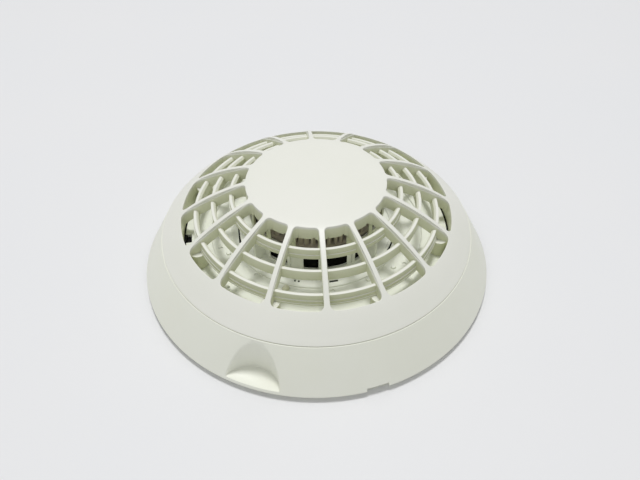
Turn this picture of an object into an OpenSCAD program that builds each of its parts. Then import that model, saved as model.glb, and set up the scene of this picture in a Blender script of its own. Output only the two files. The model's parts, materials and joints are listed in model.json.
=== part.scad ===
// Point heat detector: a plug-in head with an open ribbed guard, twisted into a round skirted base.
// Origin: centre of the base's rear face. +Z points out of the ceiling, -Y at the thumb recess.
// Bearings are degrees from -Y, positive towards +X. A rib of the guard lies at bearing 0.

/* [Outline] */
// Diameter over the skirt's lower edge
overall_d = 155; // [150:1:160]
// Height of the skirt's lower edge above the ceiling
skirt_z = 2.3; // [2.3:0.1:3]
// Height of the parting line between skirt and head
seam_z = 20; // [19.5:0.5:20.5]
// Radius of the parting line
seam_r = 67.7; // [67.5:0.1:68]
// Wall thickness of the skirt and of the guard's rim
shell_t = 2.0; // [1.8:0.1:2.2]

/* [Guard] */
// Number of radial ribs
rib_count = 16; // [12:4:20]
// Thickness of a rib
rib_t = 2.2; // [1.8:0.1:2.6]
// Depth of a rib
rib_depth = 6; // [5:0.5:6.5]
// Radius of the closed disc in the middle
disc_r = 29.5; // [29:0.5:30]
// Height of the disc's edge
disc_z = 43.7; // [43:0.1:44]
// Rise of the disc from its edge to its centre
disc_rise = 1.1; // [0.5:0.1:1.5]
// Outer radius of the slots
slot_r = 58; // [57.8:0.1:58.2]
// Height of the guard's surface at the slots' outer ends
slot_z = 28.7; // [28.5:0.1:29]
// Outer radii of the ring vanes between the ribs
vane_out = [36.6, 44.6, 52.4]; // [36:0.1:53]
// Heights of the ring vanes' upper edges
vane_z = [38.8, 35.4, 31]; // [30:0.1:40]
// Heights of the ring vanes from edge to edge
vane_h = [4.7, 4.8, 4.9]; // [4:0.1:6]
// Thickness of a ring vane
vane_t = 2; // [1.6:0.1:2.2]
// Width of the bevel along each vane's inner upper edge
vane_bevel = 0.85; // [0.5:0.05:1]

/* [Thumb recess] */
// Radius of the upright scoop in the skirt
scoop_r = 11.65; // [10:0.05:12]
// Distance from the detector's axis to the scoop's axis
scoop_y = 80; // [79.5:0.1:80.2]
// Thickness of the recess's half-moon floor and of its wall
scoop_t = 1.3; // [1.2:0.1:1.5]

/* [Bayonet] */
// Angle that the head turns through to come free
twist_deg = 16; // [15:1:16]
// Angular width of a bayonet lug
lug_deg = 14; // [12:1:14]
// How far the twisting head pushes the detent plunger out
detent_travel = 1.5; // [1:0.1:1.5]

/* [Fixings] */
// Spacing of the two slots for a round conduit box
narrow_slot_pitch = 55; // [54:1:56]
// Spacing of the two slots for a square or octagonal box
wide_slot_pitch = 86; // [85:1:87]
// Width of every fixing slot
slot_w = 4.6; // [4.2:0.2:5]
// Length of a narrow-pitch slot
narrow_slot_l = 14; // [12:1:15]
// Length of a wide-pitch slot
wide_slot_l = 9; // [8:0.5:10]
// Diameter of the cable opening in the base
cable_d = 34; // [30:1:36]

/* [Hidden] */
$fn = 96;
fine_fn = 192;
pitch = 360 / rib_count;
skirt_r = overall_d / 2;
skirt_slope = (skirt_r - seam_r) / (seam_z - skirt_z);
skirt_wall = shell_t * sqrt(1 + skirt_slope * skirt_slope);
moving_gap = 0.3;
eps = 0.01;

// Guard surface: a circular arc in section, from the disc's edge to the slots' outer ends and on
// to the parting line. Its slope is given at both ends of the ribs.
slope_in = 16.5;
slope_out = 38.6;
rise = disc_z - slot_z;
chord = norm([slot_r - disc_r, rise]);
dome_r = chord / 2 / sin((slope_out - slope_in) / 2);
dome_cr = disc_r - dome_r * sin(slope_in);
dome_cz = disc_z - dome_r * cos(slope_in);
rim_z = seam_z + moving_gap;
rim_r = seam_r - 0.1;

// Base
base_r = skirt_r - 2.1;
base_t = 2.3;
skirt_foot_r = 70.5;
skirt_foot_t = 1.5;
notch_bearing = 35.85;
notch_w = 8.8;
ring_in = 63;
ring_out = 65;
ring_top = 13;
lug_bearing = 30;
lug_z = 6.3;
lug_h = 2;
head_lug_z = 4;
stop_deg = 3;
stake_r = 72.4;
stake_d = 2.2;
stake_top = 4.8;
stake_bearing = 22.5;

// Terminals
terminal_bearing = 67.5;
terminal_r = 50;
pillar_l = 9;
pillar_w = 8;
pillar_top = 4.5;
strip_t = 0.5;
strip_w = 6;
clamp_w = 6.5;
clamp_t = 1;
clamp_lip = 0.7;
screw_r = 1.5;
terminal_head_r = 2.4;
fixing_head_r = 2.6;
screw_head_h = 1.5;
crest_r = 44;
crest_z = 8.1;
crest_bend_r = 1.2;

// Detent
plunger_w = 5;
plunger_z = 2.5;
plunger_h = 5;
nose_r = 1.2;
nose_tip = 61.5;
plunger_end = 65.9;
guide_end = 69.8;
guide_wall = 1.5;
guide_top = 7.8;
ramp_z = 4;
ramp_h = 3.7;
spring_r = 1.5;
spring_wire_r = 0.225;

// Head
housing_r = 61;
housing_in = 59;
housing_z = 3.5;
floor_z = 9;
floor_top = 10.5;
deck_z = 16.5;
deck_top = 18;
deck_r = 57.6;
shelf_r = 46.6;
shelf_z = 18.8;
wall_in = 58.3;
wall_out = 60;
spigot_in = 63.2;
spigot_z = 14;
core_in = 28.1;
core_out = 29.2;
core_split = 29.4;
window_deg = 16.4;
window_low = 31;
window_top = 38.3;
vane_step = 0.4;
vane_step_at = 0.57;
vane_foot = 0.7;
vane_foot_h = 0.6;

// Ported ring of the deck: bearing and width of each port
deck_core_in = 27.3;
deck_core_out = 28.5;
port_low = 19.1;
port_top = 25.4;
ports = [
    [-15.2, 16.4], [14.05, 11.3], [35.7, 16.5], [56.5, 7], [88, 16.5], [112, 11.3], [136, 16.5],
    [168, 11.3], [192, 16.5], [216, 11.3], [268, 16.5], [292, 11.3], [314, 7]
];
fin_bearings = [-32, 66, 148, 246];
fin_l = 5.4;
fin_t = 1.4;
fin_top = 28;

// Raised band of the deck with the sealing ring under it, and the arcs where the ring shows
band_in = 33.2;
band_out = 37.6;
band_z = 18.6;
seal_arcs = [[-62.5, 22], [4, 1.2], [6.7, 1.2], [30, 6], [86, 18], [140, 20], [200, 20], [255, 20]];
gasket_t = 1.2;
seal_gap_w = 1.05;

// Small marks on the deck: radius, bearing
pip_d = 2.2;
pip_h = 0.8;
pips = [[41.3, -46], [39.1, 51], [41.3, 69], [44, 120], [41, 160], [43, 205], [41.3, 250]];
dimple_d = 1.8;
dimples = [[38.9, -21], [43.4, -52], [51.5, -25], [44, 75], [39.5, 28], [43, 100], [51, 140], [43, 230]];
side_gap_bearing = -62;
side_gap_deg = 5.5;
side_gap_r = 55;
gasket_r = 34.9;
board_r = 50;
board_z = 13;
board_t = 1.4;
board_top = board_z + board_t;
processor_place = [-14, 12];
driver_place = [14, 14];
capacitor_place = [8, -14];
capacitor_h = 2.1;
diode_place = [-22, -12];
resistors_place = [-10, 23.4];
reference_place = [0, 30];
lead_r = 0.25;
board_screw_r = 40;
board_screw_bearing = 60;
housing_screw_r = 54;
screw_post_d = 7;
boss_r = 2.8;
boss_top = 26;
boss_shoulder = 0.7;
screw_end = 23.5;
blade_r = 44;
blade_t = 0.6;
blade_back = 18;
blade_front = 5;
tail_r = 0.8;
tail_bearing = terminal_bearing - 15;
led_r = 39.4;
led_bearing = 0.3;
led_top = 19.3;
chamber_in = 25.6;
chamber_out = 26.8;
slat_bearings = concat(
    [-75, -67, -59, -51, -43.5, -36, -28.5, -21.2, -7.5, -2, 4.2, 9.7, 15.9],
    [24.5, 30.6, 37.4, 42.3, 50.5, 57, 66.5, 78],
    [for (b = [85:7.5:280]) b]
);
slat_r = 24.9;
slat_l = 2;
slat_t = 1;
slat_turn = 38;
baffle_in = 22.6;
baffle_top = 41.2;
baffle_rim = 0.8;
screen_out = 21.4;
screen_t = 0.7;
screen_top = 40.2;
bead_z = 34.5;

// Height of the guard's surface at radius r
function dome_z(r) = dome_cz + sqrt(dome_r * dome_r - (r - dome_cr) * (r - dome_cr));

// Points along the guard's surface from radius a to radius b, lowered by d
function dome_pts(a, b, d, n = 8) = [for (i = [0:n]) let (r = a + (b - a) * i / n) [r, dome_z(r) - d]];

// Radius of the detent ramp at angle a behind the plunger
function ramp_r(a) = nose_tip - 0.25 + detent_travel * min(a, twist_deg) / twist_deg;

// Places its children at a bearing
module at(bearing) {
    rotate([0, 0, bearing]) children();
}

// Solid of revolution that covers w degrees about a bearing
module sector(bearing, w) {
    at(bearing - w / 2 - 90) rotate_extrude(angle = w, $fn = fine_fn) children();
}

// Rectangle in section: radii a to b, heights z0 to z1
module band(a, b, z0, z1) {
    translate([a, z0]) square([b - a, z1 - z0]);
}

// Profile in radius and height, extruded to a plate of thickness w in front of the axis
module radial_plate(w) {
    rotate([90, 0, -90]) translate([0, 0, -w / 2]) linear_extrude(w) children();
}

// Upright cylinder at radius r on a bearing
module post(bearing, r, d, z0, z1) {
    at(bearing) translate([0, -r, z0]) cylinder(h = z1 - z0, d = d);
}

// Box centred on radius r at a bearing: l along the radius, w across it
module block(bearing, r, l, w, z0, z1) {
    at(bearing) translate([-w / 2, -r - l / 2, z0]) cube([w, l, z1 - z0]);
}

// Slot of width slot_w and end-to-end length l along X
module fixing_slot(l) {
    translate([0, 0, -1]) linear_extrude(base_t + 2) {
        square([l - slot_w, slot_w], center = true);
        for (s = [-1, 1]) translate([s * (l - slot_w) / 2, 0]) circle(d = slot_w, $fn = 48);
    }
}

// Ceiling plate with the bayonet ring, terminal pillars and plunger guide
module mounting_base() {
    color([0.86, 0.87, 0.83]) difference() {
        union() {
            cylinder(h = base_t, r = base_r, $fn = fine_fn);
            rotate_extrude($fn = fine_fn) band(ring_in, ring_out, base_t - eps, ring_top);
            for (k = [0:2]) {
                sector(lug_bearing + 120 * k, lug_deg)
                    band(housing_r + 0.4, ring_in + 0.2, lug_z, lug_z + lug_h);
                sector(lug_bearing + 120 * k - lug_deg / 2 - stop_deg / 2 - moving_gap, stop_deg)
                    band(housing_r + 0.4, ring_in + 0.2, base_t - eps, lug_z);
                sector(lug_bearing + 120 * k + lug_deg / 2 + twist_deg + stop_deg / 2 + moving_gap, stop_deg)
                    band(housing_r + 0.4, ring_in + 0.2, base_t - eps, lug_z);
            }
            for (k = [0:3]) {
                block(terminal_bearing + 90 * k, terminal_r, pillar_l, pillar_w, base_t - eps, pillar_top);
                post(stake_bearing + 90 * k, stake_r, stake_d, base_t - eps, stake_top);
            }
            plunger_guide();
        }
        translate([0, 0, -1]) cylinder(h = base_t + 2, d = cable_d);
        for (s = [-1, 1]) {
            translate([s * narrow_slot_pitch / 2, 0, 0]) fixing_slot(narrow_slot_l);
            translate([0, s * wide_slot_pitch / 2, 0]) rotate([0, 0, 90]) fixing_slot(wide_slot_l);
        }
        for (k = [0:3]) post(terminal_bearing + 90 * k, terminal_r, 2 * screw_r, 1, pillar_top + 1);
        block(90, (ring_in + ring_out) / 2, 4, plunger_w + 0.4, base_t, guide_top);
    }
}

// Channel in which the detent plunger slides, open towards the head
module plunger_guide() {
    for (s = [-1, 1])
        translate([ring_out - 0.1, s * (plunger_w / 2 + 0.2 + guide_wall / 2) - guide_wall / 2, base_t - eps])
            cube([guide_end - ring_out + 0.1 + guide_wall, guide_wall, guide_top - base_t + eps]);
    block(90, guide_end + guide_wall / 2, guide_wall, plunger_w + 0.6, base_t - eps, guide_top);
}

// Conical trim skirt with the thumb recess
module base_skirt() {
    color([0.87, 0.88, 0.84]) difference() {
        union() {
            difference() {
                rotate_extrude($fn = fine_fn) skirt_section();
                scoop_cylinder(scoop_r, skirt_z - 1, seam_z - 0.5);
            }
            intersection() {
                rotate_extrude($fn = fine_fn) skirt_envelope();
                union() {
                    difference() {
                        scoop_cylinder(scoop_r + scoop_t, skirt_z, seam_z);
                        scoop_cylinder(scoop_r, skirt_z - 1, seam_z + 1);
                    }
                    scoop_cylinder(scoop_r + 0.1, skirt_z, skirt_z + scoop_t);
                }
            }
        }
        block(notch_bearing, skirt_r - 1, 5, notch_w, skirt_z - 1, skirt_z + skirt_foot_t);
        block(90, skirt_foot_r, 6, plunger_w + 2 * guide_wall + 0.8, skirt_z - 1, skirt_z + 1.1 * skirt_foot_t);
        for (k = [0:3]) post(stake_bearing + 90 * k, stake_r, stake_d + 0.1, skirt_z - 1, stake_top + 0.2);
    }
}

// Section of the skirt: sloping wall with a flat foot
module skirt_section() {
    polygon([
        [skirt_r, skirt_z], [seam_r, seam_z], [seam_r - skirt_wall, seam_z],
        [skirt_r - skirt_wall - skirt_foot_t * skirt_slope, skirt_z + skirt_foot_t],
        [skirt_foot_r, skirt_z + skirt_foot_t], [skirt_foot_r, skirt_z]
    ]);
}

// Section of the space under the skirt's outer face
module skirt_envelope() {
    inner = ring_out + moving_gap;
    polygon([[skirt_r, skirt_z], [seam_r, seam_z], [inner, seam_z - 0.5], [inner, skirt_z]]);
}

// Upright cylinder at the thumb recess
module scoop_cylinder(r, z0, z1) {
    translate([0, -scoop_y, z0]) cylinder(h = z1 - z0, r = r);
}

// Arc of radius b around the bend at a contact spring's crest, from angle a0 to angle a1
function crest_arc(b, a0, a1) = [for (i = [0:6]) let (a = a0 + (a1 - a0) * i / 6)
    [crest_r + b * cos(a), crest_z - crest_bend_r + b * sin(a)]];

// Leaf spring that presses on the head's blade: flat foot, rising leaf, rounded crest
module contact_spring(k) {
    w = strip_t;
    foot_end = terminal_r + 4;
    bend_r = terminal_r - 3.5;
    crest = crest_arc(crest_bend_r, 0, 180);
    under = crest_arc(crest_bend_r - w, 180, 0);
    color([0.78, 0.72, 0.5]) difference() {
        at(terminal_bearing + 90 * k) radial_plate(strip_w) polygon(concat(
            [[foot_end, pillar_top], [foot_end, pillar_top + w], [bend_r, pillar_top + w]],
            crest, under, [[bend_r, pillar_top]]
        ));
        post(terminal_bearing + 90 * k, terminal_r, 2 * screw_r + 0.2, 4, 6);
    }
}

// Square clamp plate under a terminal screw, with a turned-down lip at each side
module terminal_clamp(k) {
    z0 = pillar_top + strip_t;
    color([0.75, 0.76, 0.78]) difference() {
        union() {
            block(terminal_bearing + 90 * k, terminal_r, clamp_w, clamp_w, z0, z0 + clamp_t);
            for (x = [-clamp_w / 2, clamp_w / 2 - clamp_lip]) at(terminal_bearing + 90 * k)
                translate([x, -terminal_r - clamp_w / 2, z0 + clamp_t - eps])
                    cube([clamp_lip, clamp_w, clamp_lip]);
        }
        post(terminal_bearing + 90 * k, terminal_r, 2 * screw_r + 0.2, 4, 8);
    }
}

// Pan-head screw with a straight slot, head underneath at z
module screw(z_tip, z, head_r, head_h) {
    difference() {
        union() {
            translate([0, 0, z_tip]) cylinder(h = z - z_tip + eps, r = screw_r - 0.02, $fn = 48);
            translate([0, 0, z]) cylinder(h = head_h, r = head_r, $fn = 48);
        }
        translate([-head_r - 1, -0.4, z + head_h - 0.8]) cube([2 * head_r + 2, 0.8, 2]);
    }
}

// Four terminal screws
module terminal_screws() {
    color([0.8, 0.8, 0.82]) for (k = [0:3]) at(terminal_bearing + 90 * k) translate([0, -terminal_r, 0])
        screw(1.2, pillar_top + strip_t + clamp_t, terminal_head_r, screw_head_h);
}

// Plunger with a rounded nose, pushed out along +X by the ramp on the turning head
module detent_plunger() {
    color([0.9, 0.9, 0.86]) translate([0, 0, plunger_z]) linear_extrude(plunger_h) {
        translate([nose_tip + nose_r, 0]) circle(r = nose_r, $fn = 48);
        polygon([
            [nose_tip + nose_r, -nose_r], [nose_tip + nose_r + 1.2, -plunger_w / 2],
            [plunger_end, -plunger_w / 2], [plunger_end, plunger_w / 2],
            [nose_tip + nose_r + 1.2, plunger_w / 2], [nose_tip + nose_r, nose_r]
        ]);
    }
}

// Return spring behind the plunger, as a stack of wire turns on one thin spine
module detent_spring() {
    turns = 5;
    span = guide_end - plunger_end - 2 * spring_wire_r;
    color([0.7, 0.7, 0.72]) translate([plunger_end + spring_wire_r, 0, plunger_z + plunger_h / 2]) {
        for (i = [0:turns]) translate([span * i / turns, 0, 0]) rotate([0, 90, 0])
            rotate_extrude($fn = 32) translate([spring_r, 0]) circle(r = spring_wire_r, $fn = 16);
        translate([0, 0, spring_r]) rotate([0, 90, 0]) cylinder(h = span, r = 0.15, $fn = 16);
    }
}

// Snap-on lid over the plunger's channel
module plunger_cover() {
    color([0.85, 0.86, 0.82])
        translate([ring_out + 0.2, -plunger_w / 2 - 0.2 - guide_wall, guide_top])
            cube([guide_end + 1 - ring_out - 0.2, plunger_w + 0.4 + 2 * guide_wall, 1]);
}

// Closed disc in the middle of the guard, with the windowed core wall under it
module guard_disc() {
    color([0.9, 0.905, 0.87]) difference() {
        rotate_extrude($fn = fine_fn) disc_section();
        for (i = [0:rib_count - 1]) sector((i + 0.5) * pitch, window_deg)
            band(core_in - 0.5, core_out + 0.2, window_low, window_top);
    }
}

// Radial ribs between the disc and the rim
module guard_ribs() {
    color([0.9, 0.905, 0.87]) difference() {
        rib_plates();
        rotate_extrude($fn = fine_fn) disc_section();
        rotate_extrude($fn = fine_fn) rim_section();
        boss_posts();
    }
}

// Ring vanes, notched where the ribs cross them
module ring_vanes() {
    color([0.9, 0.905, 0.87]) difference() {
        for (i = [0:len(vane_out) - 1]) rotate_extrude($fn = fine_fn) vane_section(i);
        rib_plates();
    }
}

// Rim of the guard: sloping shell, inner wall and spigot
module guard_rim() {
    color([0.9, 0.905, 0.87]) rotate_extrude($fn = fine_fn) rim_section();
}

// Bosses under the ribs, four of them with screw holes
module guard_bosses() {
    color([0.9, 0.905, 0.87]) difference() {
        boss_posts();
        for (k = [0:3]) post(90 * k, housing_screw_r, 2 * screw_r, deck_z - 1, screw_end + 0.5);
    }
}

// All bosses without their holes
module boss_posts() {
    for (k = [0:7]) guard_boss(45 * k);
}

// All ribs as plates that run into the disc and the rim
module rib_plates() {
    for (i = [0:rib_count - 1]) at(i * pitch) radial_plate(rib_t) rib_profile();
}

// Boss under a rib, with a shoulder that holds the deck down; every second one takes a screw
module guard_boss(bearing) {
    post(bearing, housing_screw_r, 2 * boss_r, deck_z, boss_top);
    post(bearing, housing_screw_r, 2 * (boss_r + boss_shoulder), shelf_z, boss_top);
}

// Section of the closed disc and the core wall that hangs from it
module disc_section() {
    cap = [for (i = [0:6]) [disc_r * i / 6, disc_z + disc_rise * (1 - i * i / 36)]];
    polygon(concat(cap, [
        [disc_r, disc_z - 1.8], [core_out, disc_z - 1.8], [core_out, core_split], [core_in, core_split],
        [core_in, disc_z - 2.2], [0, disc_z - 1.2]
    ]));
}

// Section of the rim: sloping shell, inner wall, and spigot that enters the skirt
module rim_section() {
    polygon(concat(
        dome_pts(slot_r, rim_r, 0, 6),
        [[rim_r, rim_z], [ring_out, rim_z], [ring_out, spigot_z], [spigot_in, spigot_z]],
        [[spigot_in, dome_z(spigot_in) - 2.6], [wall_out, dome_z(wall_out) - 2.6]],
        [[wall_out, deck_z], [wall_in, deck_z], [wall_in, slot_z - 1], [slot_r, slot_z - 1]]
    ));
}

// Section of ring vane i: an upright strip, bevelled along its inner upper edge, thicker below on
// the first and last ones, and with a narrow flange at the foot of the last
module vane_section(i) {
    outer = vane_out[i];
    inner = outer - vane_t;
    top = vane_z[i];
    foot = top - vane_h[i];
    step = i == 1 ? 0 : vane_step;
    flange = i == 2 ? vane_foot : 0;
    polygon([
        [inner, foot], [outer, foot], [outer, top], [inner + vane_bevel, top], [inner, top - vane_bevel]
    ]);
    band(outer - vane_t / 2, outer + step, foot, top - vane_h[i] * vane_step_at);
    band(outer - vane_t / 2, outer + flange, foot, foot + vane_foot_h);
}

// Side view of a rib, between the core wall and the rim
module rib_profile() {
    low = dome_pts(core_out - 0.5, wall_in + 0.5, rib_depth);
    polygon(concat(
        [[disc_r - 0.5, disc_z - 1]],
        dome_pts(disc_r, slot_r + 0.5, 0.02),
        [for (i = [len(low) - 1:-1:0]) low[i]]
    ));
}

// Pale deck under the guard: raised shelf and band, ported core ring, stiffening fins, small marks
module inner_cover() {
    color([0.89, 0.9, 0.87]) difference() {
        union() {
            rotate_extrude($fn = fine_fn) {
                band(10, deck_r, deck_z, deck_top);
                band(shelf_r, deck_r, deck_top - eps, shelf_z);
                band(band_in, band_out, deck_top - eps, band_z);
                band(deck_core_in, deck_core_out, deck_top - eps, core_split);
            }
            for (b = fin_bearings) block(b, deck_core_out + 2.2, fin_l, fin_t, deck_top - eps, fin_top);
            for (p = pips) post(p[1], p[0], pip_d, deck_top - eps, deck_top + pip_h);
        }
        for (p = ports) sector(p[0], p[1]) band(deck_core_in - 0.5, deck_core_out + 0.2, port_low, port_top);
        rotate_extrude($fn = fine_fn) seal_section();
        for (a = seal_arcs) sector(a[0], a[1])
            band(gasket_r - seal_gap_w / 2, gasket_r + seal_gap_w / 2, deck_top, band_z + 1);
        for (k = [0:7]) post(45 * k, housing_screw_r, 2 * boss_r + 0.2, deck_z - 1, shelf_z + 1);
        post(led_bearing, led_r, 3.2, deck_z - 1, shelf_z + 1);
        sector(side_gap_bearing, side_gap_deg) band(side_gap_r, deck_r + 1, deck_z - 1, shelf_z + 1);
        for (p = dimples) post(p[1], p[0], dimple_d, deck_top - 0.6, shelf_z + 1);
    }
}

// Section of the sealing ring, which is moulded into the deck's raised band
module seal_section() {
    band(gasket_r - gasket_t / 2, gasket_r + gasket_t / 2, deck_top - 0.6, deck_top + 0.2);
}

// Black sealing ring around the core
module gasket_ring() {
    color([0.05, 0.05, 0.05]) rotate_extrude($fn = fine_fn) seal_section();
}

// Black cup inside the deck's ported ring, with a hole for the leads
module chamber_cup() {
    color([0.04, 0.04, 0.04]) rotate_extrude($fn = fine_fn) {
        band(10.2, chamber_out, deck_top, deck_top + baffle_rim);
        band(chamber_in, chamber_out, deck_top, core_split);
    }
}

// Brown-grey ring of slanted slats that shields the sensing element
module sensor_baffle() {
    color([0.28, 0.26, 0.22]) {
        rotate_extrude($fn = fine_fn) {
            band(baffle_in, chamber_out, core_split, core_split + baffle_rim);
            band(baffle_in, chamber_out, baffle_top - baffle_rim, baffle_top);
        }
        for (b = slat_bearings) at(b)
            translate([0, -slat_r, core_split + baffle_rim / 2]) rotate([0, 0, -slat_turn])
                translate([-slat_t / 2, -slat_l / 2, 0])
                    cube([slat_t, slat_l, baffle_top - core_split - baffle_rim]);
    }
}

// Mesh sleeve inside the baffle, closed on top
module insect_screen() {
    color([0.12, 0.11, 0.1]) rotate_extrude($fn = fine_fn) {
        band(screen_out - screen_t, screen_out, deck_top + baffle_rim, screen_top - screen_t);
        band(0, screen_out, screen_top - screen_t, screen_top);
    }
}

// Round board with clearance holes for screws and blade tails
module circuit_board() {
    color([0.1, 0.35, 0.2]) difference() {
        translate([0, 0, board_z]) cylinder(h = board_t, r = board_r, $fn = fine_fn);
        for (k = [0:2])
            post(board_screw_bearing + 120 * k, board_screw_r, 2 * screw_r + 0.2, board_z - 1, board_top + 1);
        for (k = [0:3]) post(tail_bearing + 90 * k, blade_r, 2 * tail_r + 0.2, board_z - 1, board_top + 1);
    }
}

// Flat package of l by w by h at a place on the board, with six legs on each side
module chip(place, l, w, h) {
    leg_w = 0.4;
    translate([place[0], place[1], board_top]) {
        translate([-l / 2, -w / 2, 0.1]) cube([l, w, h]);
        for (s = [-1, 1]) for (i = [0:5])
            translate([(i - 2.5) * l / 6.5 - leg_w / 2, s * (w / 2 + 0.4) - 0.5, 0]) cube([leg_w, 1, 0.5]);
    }
}

module processor_chip() {
    color([0.08, 0.08, 0.09]) chip(processor_place, 12, 7.5, 1.5);
}

module driver_chip() {
    color([0.08, 0.08, 0.09]) chip(driver_place, 8, 4.5, 1.4);
}

// Metal-can capacitor on the board's underside
module filter_capacitor() {
    color([0.75, 0.76, 0.78]) translate([capacitor_place[0], capacitor_place[1], board_z - capacitor_h])
        cylinder(h = capacitor_h, r = 4, $fn = 48);
}

module surge_diode() {
    color([0.1, 0.1, 0.1]) translate([diode_place[0], diode_place[1], board_top]) {
        translate([-2.2, -1.4, 0]) cube([4.4, 2.8, 1.5]);
        for (s = [-1, 1]) translate([s * 2.6 - 0.5, -0.7, 0]) cube([1, 1.4, 0.4]);
    }
}

// Row of chip resistors
module chip_resistors() {
    color([0.15, 0.15, 0.15]) for (i = [0:5])
        translate([resistors_place[0] + i * 3.2, resistors_place[1], board_top]) cube([2, 1.2, 0.6]);
}

// Glass bead on two bare leads, held up into the middle of the core
module sensing_thermistor() {
    color([0.2, 0.2, 0.22]) {
        translate([0, 0, bead_z]) sphere(r = 1.3, $fn = 32);
        for (s = [-1, 1]) translate([s * 0.7, 0, board_top])
            cylinder(h = bead_z - board_top, r = lead_r, $fn = 16);
    }
}

// Second bead, kept in still air against the board
module reference_thermistor() {
    color([0.2, 0.2, 0.22]) {
        translate([reference_place[0], reference_place[1], board_top + 1.05]) sphere(r = 1, $fn = 32);
        for (s = [-1, 1]) translate([reference_place[0] + s * 0.5, reference_place[1], board_top])
            cylinder(h = 1, r = lead_r, $fn = 16);
    }
}

// Clear indicator lamp that looks out through the deck
module status_led() {
    lens_r = 1.5;
    color([0.9, 0.9, 0.9]) at(led_bearing) translate([0, -led_r, 0]) {
        translate([0, 0, board_top]) cylinder(h = led_top - lens_r - board_top, r = lens_r, $fn = 32);
        translate([0, 0, led_top - lens_r]) sphere(r = lens_r, $fn = 32);
    }
}

// Closed back of the head, with bayonet lugs and the detent ramp outside its wall
module rear_housing() {
    color([0.88, 0.885, 0.85]) difference() {
        union() {
            rotate_extrude($fn = fine_fn) {
                band(0, housing_in + 0.5, floor_z, floor_top);
                band(housing_in, housing_r, housing_z, deck_z);
                band(deck_r - 2.6, housing_in + 0.5, deck_z - 1.6, deck_z);
            }
            for (k = [0:2]) {
                sector(lug_bearing + 120 * k, lug_deg)
                    band(housing_r - 0.2, ring_in - moving_gap, head_lug_z, lug_z - moving_gap);
                post(board_screw_bearing + 120 * k, board_screw_r, 4 * screw_r, floor_top - eps, board_z);
            }
            for (k = [0:3]) post(90 * k, housing_screw_r, screw_post_d, floor_top - eps, deck_z);
            translate([0, 0, ramp_z]) linear_extrude(ramp_h) detent_ramp();
        }
        for (k = [0:2])
            post(board_screw_bearing + 120 * k, board_screw_r, 2 * screw_r, floor_z - 1, board_z + 1);
        for (k = [0:3]) {
            post(90 * k, housing_screw_r, 2 * screw_r + 0.2, floor_z - 1, deck_z + 1);
            post(tail_bearing + 90 * k, blade_r, 2 * tail_r + 0.2, floor_z - 1, floor_top + 1);
        }
    }
}

// Plan of the detent ramp: a spiral that ends at a constant radius
module detent_ramp() {
    last = twist_deg + 2;
    polygon(concat(
        [for (a = [0:1:last]) [ramp_r(a) * cos(a), -ramp_r(a) * sin(a)]],
        [for (a = [last:-1:0]) [(housing_r - 0.5) * cos(a), -(housing_r - 0.5) * sin(a)]]
    ));
}

// Curved contact blade under the housing floor, with a tail soldered into the board
module head_blade(k) {
    mid = terminal_bearing + 90 * k + (blade_front - blade_back) / 2;
    color([0.8, 0.78, 0.7]) {
        sector(mid, blade_front + blade_back) band(blade_r - 2, blade_r + 2, floor_z - blade_t, floor_z);
        post(tail_bearing + 90 * k, blade_r, 2 * tail_r, floor_z - 0.1, board_top + 0.6);
    }
}

// Three screws that hold the board to the rear housing
module board_screws() {
    color([0.8, 0.8, 0.82]) for (k = [0:2]) at(board_screw_bearing + 120 * k)
        translate([0, -board_screw_r, 0]) screw(floor_z + 0.5, board_top, fixing_head_r, screw_head_h);
}

// Four screws from the back that hold rear housing, deck and guard together
module housing_screws() {
    color([0.8, 0.8, 0.82]) for (k = [0:3]) at(90 * k) translate([0, -housing_screw_r, 0])
        mirror([0, 0, 1]) screw(-screw_end, -floor_z, fixing_head_r, screw_head_h);
}

mounting_base();
base_skirt();
contact_spring(0);  // contact_spring_1
contact_spring(1);  // contact_spring_2
contact_spring(2);  // contact_spring_3
contact_spring(3);  // contact_spring_4
terminal_clamp(0);  // terminal_clamp_1
terminal_clamp(1);  // terminal_clamp_2
terminal_clamp(2);  // terminal_clamp_3
terminal_clamp(3);  // terminal_clamp_4
terminal_screws();
detent_plunger();
detent_spring();
plunger_cover();
guard_disc();
guard_ribs();
ring_vanes();
guard_rim();
guard_bosses();
inner_cover();
gasket_ring();
chamber_cup();
sensor_baffle();
insect_screen();
circuit_board();
processor_chip();
driver_chip();
filter_capacitor();
surge_diode();
chip_resistors();
sensing_thermistor();
reference_thermistor();
status_led();
rear_housing();
head_blade(0);  // head_blade_1
head_blade(1);  // head_blade_2
head_blade(2);  // head_blade_3
head_blade(3);  // head_blade_4
board_screws();
housing_screws();
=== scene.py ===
"""Looks of a ceiling heat detector that lies face up: guard, skirt, deck and core around the CAD frame.

Lengths are millimetres until a mesh is made. Bearings are degrees from -Y, positive towards +X.
"""

import json
import math

import bmesh
import bpy
from mathutils import Matrix, Vector


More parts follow.
